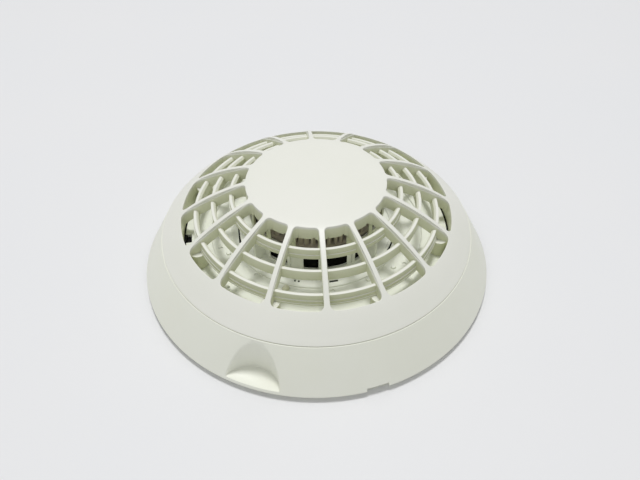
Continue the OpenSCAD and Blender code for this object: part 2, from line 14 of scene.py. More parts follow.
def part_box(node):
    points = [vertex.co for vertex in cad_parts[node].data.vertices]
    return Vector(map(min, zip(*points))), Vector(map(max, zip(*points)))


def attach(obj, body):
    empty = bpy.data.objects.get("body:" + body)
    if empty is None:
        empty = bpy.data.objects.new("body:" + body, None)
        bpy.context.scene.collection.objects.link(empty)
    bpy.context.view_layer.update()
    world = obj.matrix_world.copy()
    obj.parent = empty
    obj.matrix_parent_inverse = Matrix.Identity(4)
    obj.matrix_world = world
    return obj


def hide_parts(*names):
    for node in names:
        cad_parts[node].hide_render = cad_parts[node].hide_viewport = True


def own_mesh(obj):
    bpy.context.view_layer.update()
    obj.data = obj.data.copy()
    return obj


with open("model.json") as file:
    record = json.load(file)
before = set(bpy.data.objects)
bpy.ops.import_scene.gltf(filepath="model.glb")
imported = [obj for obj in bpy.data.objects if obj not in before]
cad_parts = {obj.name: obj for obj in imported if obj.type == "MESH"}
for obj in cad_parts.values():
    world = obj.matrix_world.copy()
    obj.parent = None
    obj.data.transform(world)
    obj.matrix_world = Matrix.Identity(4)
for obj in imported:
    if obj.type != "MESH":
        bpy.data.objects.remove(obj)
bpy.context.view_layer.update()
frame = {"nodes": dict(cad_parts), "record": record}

MM = 0.001
RING_STEPS = 288


def low(node, axis):
    """Lowest coordinate of a CAD node along an axis, in millimetres."""
    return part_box(node)[0][axis] / MM


def high(node, axis):
    """Highest coordinate of a CAD node along an axis, in millimetres."""
    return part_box(node)[1][axis] / MM


# Skirt, guard, deck and core: heights and radii shared with the frame's nodes
SKIRT_R = high("base_skirt", 0)
SKIRT_Z = low("base_skirt", 2)
SEAM_Z = high("base_skirt", 2)
SEAM_R = 67.7
SKIRT_SLOPE = (SKIRT_R - SEAM_R) / (SEAM_Z - SKIRT_Z)
RIM_R = SEAM_R - 0.1
RIM_Z = SEAM_Z + 0.3
GUARD_TOP = high("guard_disc", 2)
DISC_R = 29.5
DISC_Z = 43.7
SLOT_R = 58.0
SLOT_Z = 28.7
RIBS = 16
PITCH = 360 / RIBS
RIB_T = 2.2
RIB_DEPTH = 6.0
VANE_OUT = (36.6, 44.6, 52.4)
VANE_Z = (38.8, 35.4, 31.0)
VANE_H = (4.7, 4.8, 4.9)
VANE_T = 2.0
VANE_BEVEL = 0.85
STEP_OUT = 0.4
STEP_SHARE = 0.57
FLANGE_OUT = 0.7
FLANGE_T = 0.6
CORE_IN = 28.1
CORE_OUT = 29.2
CORE_SPLIT = low("guard_disc", 2)
WINDOW_ARC = 16.4
WINDOW_LOW = 31.0
WINDOW_HIGH = 38.3
WINDOW_FLARE = 1.5
DISC_T_EDGE = 2.2
DISC_T_MIDDLE = 1.2
SHELL_T = 2.6
SEAM_GAP = 0.08
WALL_IN = 58.3
WALL_OUT = 60.0
SPIGOT_IN = 63.2
SPIGOT_OUT = 65.0
SPIGOT_Z = 14.0
DECK_Z = low("inner_cover", 2)
DECK_TOP = DECK_Z + 1.5
SHELF_Z = DECK_TOP + 0.8
SHELF_R = 46.6
BAND_Z = DECK_TOP + 0.6
DECK_R = high("inner_cover", 0)
GASKET_R = high("gasket_ring", 0) - 0.6
BOSSES = 8
BOSS_R = 54.0
BOSS_TOP = 26.0
BOSS_FOOT_R = 2.8
BOSS_HEAD_R = 3.5
BOSS_BORE_R = 1.5
BOSS_BORE_TOP = 24
BOSS_HOLE = 5.8

# How far a cutter reaches past the surface it leaves
PROUD = 0.3

# Section of the guard: a circular arc that leaves the disc and passes the slots' outer ends at these slopes
SLOPE_IN = math.radians(16.5)
SLOPE_OUT = math.radians(38.6)
DOME_R = math.hypot(SLOT_R - DISC_R, DISC_Z - SLOT_Z) / 2 / math.sin((SLOPE_OUT - SLOPE_IN) / 2)
DOME_CR = DISC_R - DOME_R * math.sin(SLOPE_IN)
DOME_CZ = DISC_Z - DOME_R * math.cos(SLOPE_IN)


def dome_z(r):
    """Height of the guard's surface at radius r."""
    if r < DISC_R:
        return DISC_Z + (GUARD_TOP - DISC_Z) * (1 - (r / DISC_R) ** 2)
    return DOME_CZ + math.sqrt(DOME_R ** 2 - (r - DOME_CR) ** 2)


def skirt_height(r):
    """Height of the skirt's sloping face at radius r."""
    return SKIRT_Z + (SKIRT_R - r) / SKIRT_SLOPE


def at_bearing(bearing, radius, z=0.0):
    """Point at a bearing and radius."""
    a = math.radians(bearing)
    return (radius * math.sin(a), -radius * math.cos(a), z)


# ---------------------------------------------------------------- mesh tools

def new_object(name, mesh):
    """Links a mesh to the scene as an object."""
    obj = bpy.data.objects.new(name, mesh)
    bpy.context.scene.collection.objects.link(obj)
    return obj


def build(name, verts, faces):
    """Object from vertices in millimetres and faces."""
    mesh = bpy.data.meshes.new(name)
    mesh.from_pydata([(x * MM, y * MM, z * MM) for x, y, z in verts], [], faces)
    mesh.validate()
    mesh.update()
    return new_object(name, mesh)


def fillet(corners, steps=4):
    """Closed outline from (x, y, radius) corners, with each corner turned into an arc."""
    outline = []
    count = len(corners)
    for i, (x, y, radius) in enumerate(corners):
        here = Vector((x, y))
        if radius <= 0:
            outline.append((x, y))
            continue
        before = (Vector(corners[i - 1][:2]) - here)
        after = (Vector(corners[(i + 1) % count][:2]) - here)
        half = before.angle(after) / 2
        room = [0.49 if corners[n % count][2] > 0 else 0.98 for n in (i - 1, i + 1)]
        reach = min(radius / math.tan(half), room[0] * before.length, room[1] * after.length)
        radius = reach * math.tan(half)
        before.normalize()
        after.normalize()
        centre = here + (before + after).normalized() * radius / math.sin(half)
        start = here + before * reach - centre
        end = here + after * reach - centre
        turn = start.angle_signed(end)
        for k in range(steps + 1):
            spoke = start.copy()
            spoke.rotate(Matrix.Rotation(-turn * k / steps, 2))
            outline.append(tuple(centre + spoke))
    return outline


def lathe(name, outline, steps=RING_STEPS):
    """Closed solid of revolution about Z from a closed outline of (radius, z)."""
    verts, rows = [], []
    for r, z in outline:
        if r < 1e-6:
            rows.append([len(verts)] * steps)
            verts.append((0.0, 0.0, z))
        else:
            rows.append(list(range(len(verts), len(verts) + steps)))
            verts += [at_bearing(360 * k / steps, r, z) for k in range(steps)]
    faces = []
    for a, b in zip(rows, rows[1:] + rows[:1]):
        if a[0] == a[1] and b[0] == b[1]:
            continue
        for k in range(steps):
            m = (k + 1) % steps
            ring = [a[k], a[m], b[m], b[k]]
            faces.append([v for n, v in enumerate(ring) if v != ring[n - 1]])
    return upright(build(name, verts, faces))


def plug(name, loops):
    """Closed solid through a list of loops with the same number of points, capped at both ends."""
    count = len(loops[0])
    verts = [p for loop in loops for p in loop]
    faces = [list(range(count)), list(range(len(verts) - count, len(verts)))[::-1]]
    for i in range(len(loops) - 1):
        for k in range(count):
            m = (k + 1) % count
            faces.append([i * count + m, i * count + k, (i + 1) * count + k, (i + 1) * count + m])
    return upright(build(name, verts, faces))


def upright(obj):
    """Turns every face of a closed mesh outwards."""
    bm = bmesh.new()
    bm.from_mesh(obj.data)
    bmesh.ops.recalc_face_normals(bm, faces=bm.faces)
    bm.to_mesh(obj.data)
    bm.free()
    return obj


def join(name, objects):
    """One object from several."""
    verts, faces = [], []
    for obj in objects:
        start = len(verts)
        verts += [tuple(v.co / MM) for v in obj.data.vertices]
        faces += [[start + v for v in p.vertices] for p in obj.data.polygons]
        discard(obj)
    return build(name, verts, faces)


def discard(obj):
    """Removes a helper object."""
    mesh = obj.data
    bpy.data.objects.remove(obj)
    bpy.data.meshes.remove(mesh)


def boolean(target, other, operation):
    """Adds or cuts another closed mesh and keeps the result as the target's own mesh."""
    modifier = target.modifiers.new("boolean", "BOOLEAN")
    modifier.solver = "MANIFOLD"
    modifier.operation = operation
    modifier.object = other
    depsgraph = bpy.context.evaluated_depsgraph_get()
    mesh = bpy.data.meshes.new_from_object(target.evaluated_get(depsgraph))
    old = target.data
    target.modifiers.clear()
    target.data = mesh
    bpy.data.meshes.remove(old)
    discard(other)
    return target


def smooth(obj, angle=32):
    """Smooth shading with edges sharper than the angle kept crisp."""
    obj.data.shade_smooth()
    obj.data.set_sharp_from_angle(angle=math.radians(angle))
    return obj


def turned(obj, bearing):
    """Turns a mesh about Z to a bearing."""
    obj.data.transform(Matrix.Rotation(math.radians(bearing), 4, "Z"))
    return obj


def piece(obj, body, slot, material, *nodes):
    """Finishes a piece: smooth shading, its body, the CAD nodes it stands for, and material; the slot
    argument is not used.
    """
    smooth(obj)
    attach(obj, body)
    if nodes:
        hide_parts(*nodes)
    obj.data.materials.clear()
    obj.data.materials.append(material)
    return obj


# ---------------------------------------------------------------- materials

def shader(name, roughness, **fixed):
    """New material with a Principled shader; fixed values go on its own sockets."""
    material = bpy.data.materials.new(name)
    material.use_nodes = True
    tree = material.node_tree
    bsdf = tree.nodes["Principled BSDF"]
    bsdf.inputs["Roughness"].default_value = roughness
    for socket, value in fixed.items():
        bsdf.inputs[socket.replace("_", " ")].default_value = value
    return material, tree, bsdf


def noise(tree, coords, scale, detail=3.0, roughness=0.55):
    """Noise texture over object coordinates."""
    node = tree.nodes.new("ShaderNodeTexNoise")
    node.inputs["Scale"].default_value = scale
    node.inputs["Detail"].default_value = detail
    node.inputs["Roughness"].default_value = roughness
    tree.links.new(coords, node.inputs["Vector"])
    return node.outputs["Fac"]


def ramp(tree, fac, stops):
    """Colour ramp over (position, colour) stops."""
    node = tree.nodes.new("ShaderNodeValToRGB")
    elements = node.color_ramp.elements
    while len(elements) < len(stops):
        elements.new(0.5)
    for element, (position, colour) in zip(elements, stops):
        element.position = position
        element.color = (*colour, 1.0)
    tree.links.new(fac, node.inputs["Fac"])
    return node.outputs["Color"]


def spread(tree, fac, low_value, high_value):
    """Maps 0..1 to a range."""
    node = tree.nodes.new("ShaderNodeMapRange")
    node.inputs["To Min"].default_value = low_value
    node.inputs["To Max"].default_value = high_value
    tree.links.new(fac, node.inputs["Value"])
    return node.outputs["Result"]


def arithmetic(tree, operation, *values):
    """Math node over sockets or numbers."""
    node = tree.nodes.new("ShaderNodeMath")
    node.operation = operation
    for socket, value in zip(node.inputs, values):
        if isinstance(value, (int, float)):
            socket.default_value = value
        else:
            tree.links.new(value, socket)
    return node.outputs["Value"]


def distance(tree, a, b):
    """Length of the vector (a, b)."""
    squares = [arithmetic(tree, "MULTIPLY", side, side) for side in (a, b)]
    return arithmetic(tree, "SQRT", arithmetic(tree, "ADD", *squares))


def window(tree, value, start, end):
    """0 at start, 1 at end, clamped outside."""
    node = tree.nodes.new("ShaderNodeMapRange")
    node.inputs["From Min"].default_value = start
    node.inputs["From Max"].default_value = end
    tree.links.new(value, node.inputs["Value"])
    return node.outputs["Result"]


def bump(tree, bsdf, height, depth, strength):
    """Bump of a depth in metres into the shader's normal."""
    node = tree.nodes.new("ShaderNodeBump")
    node.inputs["Distance"].default_value = depth
    node.inputs["Strength"].default_value = strength
    tree.links.new(height, node.inputs["Height"])
    tree.links.new(node.outputs["Normal"], bsdf.inputs["Normal"])


def object_coords(tree):
    """Object coordinates of the shaded point."""
    return tree.nodes.new("ShaderNodeTexCoord").outputs["Object"]


def moulded_plastic(name, pale, aged, roughness=0.42, grain=0.5):
    """Off-white moulded plastic: slow yellowing patches, fine spark-eroded grain, uneven sheen."""
    material, tree, bsdf = shader(name, roughness, IOR=1.5)
    coords = object_coords(tree)
    patches = noise(tree, coords, 26.0, 4.0, 0.6)
    tree.links.new(ramp(tree, patches, [(0.36, pale), (0.66, aged)]), bsdf.inputs["Base Color"])
    tree.links.new(spread(tree, patches, roughness - 0.07, roughness + 0.08), bsdf.inputs["Roughness"])
    bump(tree, bsdf, noise(tree, coords, 2600.0, 2.0, 0.5), 0.03 * MM, grain)
    return material


def guard_moulding(name, pale, aged, painted_shade, roughness=0.42, grain=0.5):
    """Moulded plastic of the guard, greener on upright faces below its outer surface.

    That greener, darker colour is painted shade: it stands in for the olive tint the shade takes between the
    vanes and ribs.
    """
    material = moulded_plastic(name, pale, aged, roughness, grain)
    tree = material.node_tree
    bsdf = tree.nodes["Principled BSDF"]
    outer = bsdf.inputs["Base Color"].links[0].from_socket
    coords = tree.nodes.new("ShaderNodeTexCoord")
    place = tree.nodes.new("ShaderNodeSeparateXYZ")
    tree.links.new(coords.outputs["Object"], place.inputs["Vector"])
    facing = tree.nodes.new("ShaderNodeSeparateXYZ")
    tree.links.new(coords.outputs["Normal"], facing.inputs["Vector"])
    x, y, z = place.outputs
    from_r = arithmetic(tree, "SUBTRACT", distance(tree, x, y), DOME_CR * MM)
    from_z = arithmetic(tree, "SUBTRACT", z, DOME_CZ * MM)
    depth = arithmetic(tree, "SUBTRACT", DOME_R * MM, distance(tree, from_r, from_z))
    under_dome = window(tree, depth, 0.4 * MM, 1.6 * MM)
    under_disc = window(tree, z, (DISC_Z - 0.1) * MM, (DISC_Z - 1.0) * MM)
    upright_face = window(tree, facing.outputs["Z"], 0.9, 0.3)
    # Painted shade: upright faces under the dome and under the disc take the darker green colour
    share = arithmetic(tree, "MULTIPLY", arithmetic(tree, "MULTIPLY", under_dome, under_disc), upright_face)
    mix = tree.nodes.new("ShaderNodeMix")
    mix.data_type = "RGBA"
    tree.links.new(share, mix.inputs[0])
    tree.links.new(outer, mix.inputs[6])
    mix.inputs[7].default_value = (*painted_shade, 1.0)
    tree.links.new(mix.outputs[2], bsdf.inputs["Base Color"])
    return material


def dark_plastic(name, colour, colour_2, roughness=0.5, gloss=0.5):
    """Dark moulding with faint streaks along Z."""
    material, tree, bsdf = shader(name, roughness, Specular_IOR_Level=gloss)
    coords = object_coords(tree)
    streaks = noise(tree, coords, 420.0, 3.0, 0.6)
    tree.links.new(ramp(tree, streaks, [(0.35, colour), (0.7, colour_2)]), bsdf.inputs["Base Color"])
    bump(tree, bsdf, streaks, 0.04 * MM, 0.4)
    return material


def metal(name, colour, colour_2, roughness, scale=900.0):
    """Plated or drawn metal with fine rubbing marks."""
    material, tree, bsdf = shader(name, roughness, Metallic=1.0)
    coords = object_coords(tree)
    marks = noise(tree, coords, scale, 5.0, 0.65)
    tree.links.new(ramp(tree, marks, [(0.3, colour), (0.75, colour_2)]), bsdf.inputs["Base Color"])
    tree.links.new(spread(tree, marks, roughness - 0.1, roughness + 0.14), bsdf.inputs["Roughness"])
    bump(tree, bsdf, marks, 0.02 * MM, 0.35)
    return material


def board_laminate():
    """Green solder mask with a faint track pattern."""
    material, tree, bsdf = shader("board_laminate", 0.32)
    coords = object_coords(tree)
    tracks = tree.nodes.new("ShaderNodeTexBrick")
    tracks.inputs["Scale"].default_value = 240.0
    tracks.inputs["Mortar Size"].default_value = 0.06
    tracks.inputs["Color1"].default_value = (0.018, 0.13, 0.06, 1)
    tracks.inputs["Color2"].default_value = (0.022, 0.15, 0.07, 1)
    tracks.inputs["Mortar"].default_value = (0.05, 0.24, 0.12, 1)
    tree.links.new(coords, tracks.inputs["Vector"])
    tree.links.new(tracks.outputs["Color"], bsdf.inputs["Base Color"])
    bump(tree, bsdf, tracks.outputs["Fac"], 0.03 * MM, 0.4)
    return material


def woven_screen():
    """Near-black wire mesh, its wires as bump and as lines of colour."""
    material, tree, bsdf = shader("screen_mesh", 0.85, Specular_IOR_Level=0.1)
    coords = object_coords(tree)
    weave = tree.nodes.new("ShaderNodeTexBrick")
    weave.inputs["Scale"].default_value = 900.0
    weave.inputs["Mortar Size"].default_value = 0.08
    weave.inputs["Color1"].default_value = (0.008, 0.007, 0.006, 1)
    weave.inputs["Color2"].default_value = (0.012, 0.011, 0.009, 1)
    weave.inputs["Mortar"].default_value = (0.003, 0.003, 0.003, 1)
    tree.links.new(coords, weave.inputs["Vector"])
    tree.links.new(weave.outputs["Color"], bsdf.inputs["Base Color"])
    bump(tree, bsdf, weave.outputs["Fac"], 0.05 * MM, 0.5)
    return material


def milky_lens():
    """Milky, faintly yellow lamp body, slightly cloudy inside."""
    material, tree, bsdf = shader("lamp_lens", 0.25, Transmission_Weight=0.05, IOR=1.49)
    cloud = noise(tree, object_coords(tree), 700.0, 2.0, 0.5)
    tints = [(0.3, (0.88, 0.87, 0.68)), (0.8, (0.95, 0.94, 0.76))]
    tree.links.new(ramp(tree, cloud, tints), bsdf.inputs["Base Color"])
    return material


def tabletop():
    """Plain pale floor with the faintest mottling."""
    material, tree, bsdf = shader("tabletop", 0.65)
    mottle = noise(tree, object_coords(tree), 9.0, 3.0, 0.5)
    tints = [(0.3, (0.79, 0.795, 0.80)), (0.7, (0.80, 0.80, 0.80))]
    tree.links.new(ramp(tree, mottle, tints), bsdf.inputs["Base Color"])
    return material


# ---------------------------------------------------------------- guard

def slot_outline(grow, corner_in=1.7, corner_out=2.0, arc_steps=6):
    """Plan of one slot between two ribs, centred on bearing 0, with every side moved out by grow."""
    inner = DISC_R - grow
    outer = SLOT_R + grow
    side = RIB_T / 2 - grow

    def edge_bearing(radius):
        return PITCH / 2 - math.degrees(math.asin(side / radius))

    corners = []
    for radius, corner, sense in ((inner, corner_in, 1), (outer, corner_out, -1)):
        reach = edge_bearing(radius)
        clear = 1 - math.degrees((corner + 0.4) / radius) / reach
        for k in range(arc_steps + 1):
            share = (2 * k / arc_steps - 1) * clear
            if k in (0, arc_steps):
                share = 1 if share > 0 else -1
            x, y, _ = at_bearing(sense * reach * share, radius)
            corners.append((x, y, corner + grow if abs(share) == 1 else 0))
    return fillet(corners, 5)


def slot_plug(bearing, lip=0.25):
    """Cutter for one slot: straight walls, and a rounded lip where they meet the dome."""
    levels = [(lip, -0.3)]
    for k in range(5):
        t = math.radians(90 * k / 4)
        levels.append((lip * (1 - math.sin(t)), lip * (1 - math.cos(t))))
    loops = [[(x, y, GUARD_TOP + 2) for x, y in slot_outline(lip)]]
    for grow, depth in levels:
        loops.append([(x, y, dome_z(math.hypot(x, y)) - depth) for x, y in slot_outline(grow)])
    loops.append([(x, y, DECK_Z) for x, y in slot_outline(-0.02)])
    return turned(plug("slot", loops), bearing)


def ring_box(name, bearing, width, r_in, r_out, z_low, z_high, round_by=0.5, steps=6, flare=0.0):
    """Curved box between two radii and two heights, rounded seen from outside.

    The flare widens it at the inner radius.
    """
    half = width / 2
    corners = ((-half, z_low), (half, z_low), (half, z_high), (-half, z_high))
    outline = fillet([(s, z, round_by) for s, z in corners])
    arc = []
    for i, (s, z) in enumerate(outline):
        s_next, z_next = outline[(i + 1) % len(outline)]
        arc.append((s, z))
        if abs(s_next - s) > width / 4:
            arc += [(s + (s_next - s) * k / steps, z) for k in range(1, steps)]
    mean = (r_in + r_out) / 2
    loops = []
    for radius, grow in ((r_in, flare), (r_out, 0.0)):
        widen = 1 + 2 * grow / width
        loops.append([at_bearing(bearing + math.degrees(s * widen / mean), radius, z) for s, z in arc])
    return plug(name, loops)


def vane(i):
    """One ring vane: bevelled inner edge, a step on the first and last, a foot flange on the last."""
    outer = VANE_OUT[i]
    inner = outer - VANE_T
    top = VANE_Z[i]
    foot = top - VANE_H[i]
    step_z = top - STEP_SHARE * VANE_H[i]
    corners = [(inner, foot, 0.2)]
    if i == 2:
        corners += [(outer + FLANGE_OUT, foot, 0.15), (outer + FLANGE_OUT, foot + FLANGE_T, 0.2)]
        corners += [(outer + STEP_OUT, foot + FLANGE_T + 0.02, 0.05)]
    elif i == 0:
        corners += [(outer + STEP_OUT, foot, 0.2)]
    else:
        corners += [(outer, foot, 0.2)]
    if i != 1:
        corners += [(outer + STEP_OUT, step_z, 0.15), (outer, step_z + 0.02, 0.05)]
    corners += [(outer, top, 0.25), (inner + VANE_BEVEL, top, 0.15), (inner, top - VANE_BEVEL, 0.15)]
    return lathe("vane", fillet(corners, 4))


def guard_section():
    """Outline of the guard in radius and height, before its slots are cut."""
    skin = [(DISC_R * k / 8, dome_z(DISC_R * k / 8)) for k in range(8)]
    skin += [(r, dome_z(r)) for r in (DISC_R + (RIM_R - 0.4 - DISC_R) * k / 24 for k in range(24))]
    edge = fillet([(RIM_R - 1, dome_z(RIM_R - 1), 0), (RIM_R, RIM_Z, 0.12), (RIM_R - 0.8, RIM_Z, 0)], 4)[1:-1]
    inside = [(RIM_R - 0.6, RIM_Z), (RIM_R - 0.6, SEAM_Z + SEAM_GAP), (SPIGOT_OUT, SEAM_Z + SEAM_GAP)]
    inside += [(SPIGOT_OUT, SPIGOT_Z), (SPIGOT_IN, SPIGOT_Z)]
    inside += [(SPIGOT_IN, dome_z(SPIGOT_IN) - SHELL_T), (WALL_OUT, dome_z(WALL_OUT) - SHELL_T)]
    inside += [(WALL_OUT, DECK_Z), (WALL_IN, DECK_Z)]
    under = [(r, dome_z(r) - RIB_DEPTH) for r in (WALL_IN + (CORE_OUT - WALL_IN) * k / 12 for k in range(13))]
    core = [(CORE_OUT, CORE_SPLIT), (CORE_IN, CORE_SPLIT)]
    core += [(CORE_IN, DISC_Z - DISC_T_EDGE), (0.0, DISC_Z - DISC_T_MIDDLE)]
    return skin + edge + inside + under + core


def guard_boss(bearing, radius, z_low, drilled):
    """Boss under a rib, hollow where it takes a screw."""
    outline = [(BOSS_BORE_R if drilled else 0, z_low, 0), (radius, z_low, 0.2)]
    outline += [(radius, BOSS_TOP, 0.2), (0, BOSS_TOP, 0)]
    if drilled:
        outline += [(0, BOSS_BORE_TOP, 0), (BOSS_BORE_R, BOSS_BORE_TOP, 0)]
    boss = lathe("boss", fillet(outline, 3), 40)
    x, y, _ = at_bearing(bearing, BOSS_R)
    boss.data.transform(Matrix.Translation((x * MM, y * MM, 0)))
    return boss


def make_guard():
    """Guard in one moulding: dome, slots with rounded lips, vanes, core windows and screw bosses."""
    guard = lathe("guard", guard_section())
    slots = [slot_plug((k + 0.5) * PITCH) for k in range(RIBS)]
    boolean(guard, join("slots", slots), "DIFFERENCE")
    windows = []
    width = math.radians(WINDOW_ARC) * CORE_OUT
    for k in range(RIBS):
        bearing = (k + 0.5) * PITCH
        windows.append(ring_box("window", bearing, width, CORE_IN - 2 * PROUD, CORE_OUT + PROUD,
                                WINDOW_LOW, WINDOW_HIGH, 0.4, flare=WINDOW_FLARE))
    boolean(guard, join("windows", windows), "DIFFERENCE")
    for i in range(len(VANE_OUT)):
        boolean(guard, vane(i), "UNION")
    for k in range(BOSSES):
        for radius, z_low in ((BOSS_FOOT_R, DECK_Z), (BOSS_HEAD_R, SHELF_Z)):
            boolean(guard, guard_boss(k * 360 / BOSSES, radius, z_low, k % 2 == 0), "UNION")
    return guard


# ---------------------------------------------------------------- skirt

SCOOP_R = 11.65
SCOOP_Y = 80.0
SCOOP_FLOOR = 1.3
SCOOP_WALL = 1.3
SKIRT_T = 2.0
SKIRT_FOOT_T = 1.5
SKIRT_FOOT_R = 70.5
LINER_R = 65.3
NOTCH_BEARING = 35.85
NOTCH_W = 8.8
NOTCH_DEPTH = 3.5
NOTCH_H = 1.5
SKIRT_FACE = (
    (SKIRT_R, SKIRT_Z, 0.15), (SKIRT_R, SKIRT_Z + 0.4, 0.5), (SEAM_R, SEAM_Z, 0.12),
)


def scoop_plug(radius, floor_z, lip, top):
    """Upright round cutter at the thumb recess, with a rounded lip where it leaves the skirt's face."""
    steps = 96
    levels = [(radius - 0.5, 0.0, True), (radius - 0.15, 0.12, True), (radius, 0.5, True)]
    for k in range(5):
        t = math.radians(90 - 90 * k / 4)
        levels.append((radius + lip * (1 - math.sin(t)), lip * (1 - math.cos(t)) * 1.4, False))
    levels.append((radius + lip, -top, False))
    loops = []
    for i, (r, depth, from_floor) in enumerate(levels):
        loop = []
        for k in range(steps):
            a = 2 * math.pi * k / steps
            x, y = r * math.cos(a), -SCOOP_Y + r * math.sin(a)
            surface = skirt_height(math.hypot(x, y))
            z = floor_z + depth if from_floor else surface - depth
            loop.append((x, y, max(z, floor_z + 0.002 * i)))
        loops.append(loop)
    return plug("scoop", loops)


def make_skirt():
    """Trim skirt: conical wall with soft edges, thumb recess with a half-moon floor, and a small notch."""
    wall = SKIRT_T * math.hypot(1, SKIRT_SLOPE)
    foot_top = SKIRT_Z + SKIRT_FOOT_T
    outer = fillet([
        *SKIRT_FACE, (SEAM_R - wall, SEAM_Z, 0.2), (SKIRT_R - wall - SKIRT_FOOT_T * SKIRT_SLOPE, foot_top, 0),
        (SKIRT_FOOT_R, foot_top, 0.2), (SKIRT_FOOT_R, SKIRT_Z, 0),
    ], 4)
    skirt = lathe("skirt", outer)
    recess_r = SCOOP_R + SCOOP_WALL
    recess = lathe("recess", [(0, SKIRT_Z), (recess_r, SKIRT_Z), (recess_r, SEAM_Z), (0, SEAM_Z)], 128)
    recess.data.transform(Matrix.Translation((0, -SCOOP_Y * MM, 0)))
    envelope = lathe("envelope", fillet([*SKIRT_FACE, (LINER_R, SEAM_Z, 0), (LINER_R, SKIRT_Z, 0)], 4))
    boolean(recess, envelope, "INTERSECT")
    boolean(skirt, recess, "UNION")
    boolean(skirt, scoop_plug(SCOOP_R, SKIRT_Z + SCOOP_FLOOR, 0.3, 6.0), "DIFFERENCE")
    notch = ring_box("notch", NOTCH_BEARING, NOTCH_W, SKIRT_R - NOTCH_DEPTH, SKIRT_R + 1,
                     SKIRT_Z - 1, SKIRT_Z + NOTCH_H, 0.2)
    boolean(skirt, notch, "DIFFERENCE")
    return skirt


# ---------------------------------------------------------------- deck

def rounded_box(name, bearing, radius, length, width, z_low, z_high, corner=0.6, lip=0.2):
    """Box on a bearing: length along the radius, width across it, upright and upper edges rounded."""
    def plan(shrink):
        a, b = length / 2 - shrink, width / 2 - shrink
        return fillet([(-b, -a, corner), (b, -a, corner), (b, a, corner), (-b, a, corner)], 3)
    levels = ((0, z_low), (0, z_high - lip), (0.3 * lip, z_high - 0.3 * lip), (lip, z_high))
    loops = [[(x, y - radius, z) for x, y in plan(shrink)] for shrink, z in levels]
    return turned(plug(name, loops), bearing)


DECK_CORE_IN = 27.3
DECK_CORE_OUT = 28.5
DECK_HOLE_R = 10
BAND_OUT = 37.8
BAND_IN = 33.0
CHANNEL_HALF = 0.6
CHANNEL_DEPTH = 0.6
ARC_HALF = 0.52
PORT_LOW = 19.1
PORT_HIGH = 25.4
PORT_FLARE = 1.4
# Ports and the gaps over the seal, as (bearing, width in degrees)
PORTS = (
    (-15.2, 16.4), (14.05, 11.3), (35.7, 16.5), (56.5, 7), (88, 16.5), (112, 11.3), (136, 16.5),
    (168, 11.3), (192, 16.5), (216, 11.3), (268, 16.5), (292, 11.3), (314, 7),
)
# Slits over the seal ring: the near-black ring seen through them is painted shade for the dark gaps on the
# deck
SEAL_ARCS = ((-62.5, 22), (4, 1.2), (6.7, 1.2), (30, 6), (86, 18), (140, 20), (200, 20), (255, 20))
CREASES = (-3, 49, 118, 182, 243)
FINS = (-32, 66, 148, 246)
FIN_R = 30.7
FIN_TOP = 28.0
LAMP_BEARING = 0.3
LAMP_R = 39.4
BLOCK_BEARING = -62
PIP_R = 1.1
PIP_H = 0.8
# Small marks as (radius, bearing)
PIPS = ((41.3, -46), (39.1, 51), (41.3, 69), (44, 120), (41, 160), (43, 205), (41.3, 250))
DIMPLES = ((38.9, -21), (43.4, -52), (51.5, -25), (44, 75), (39.5, 28), (43, 100), (51, 140), (43, 230))


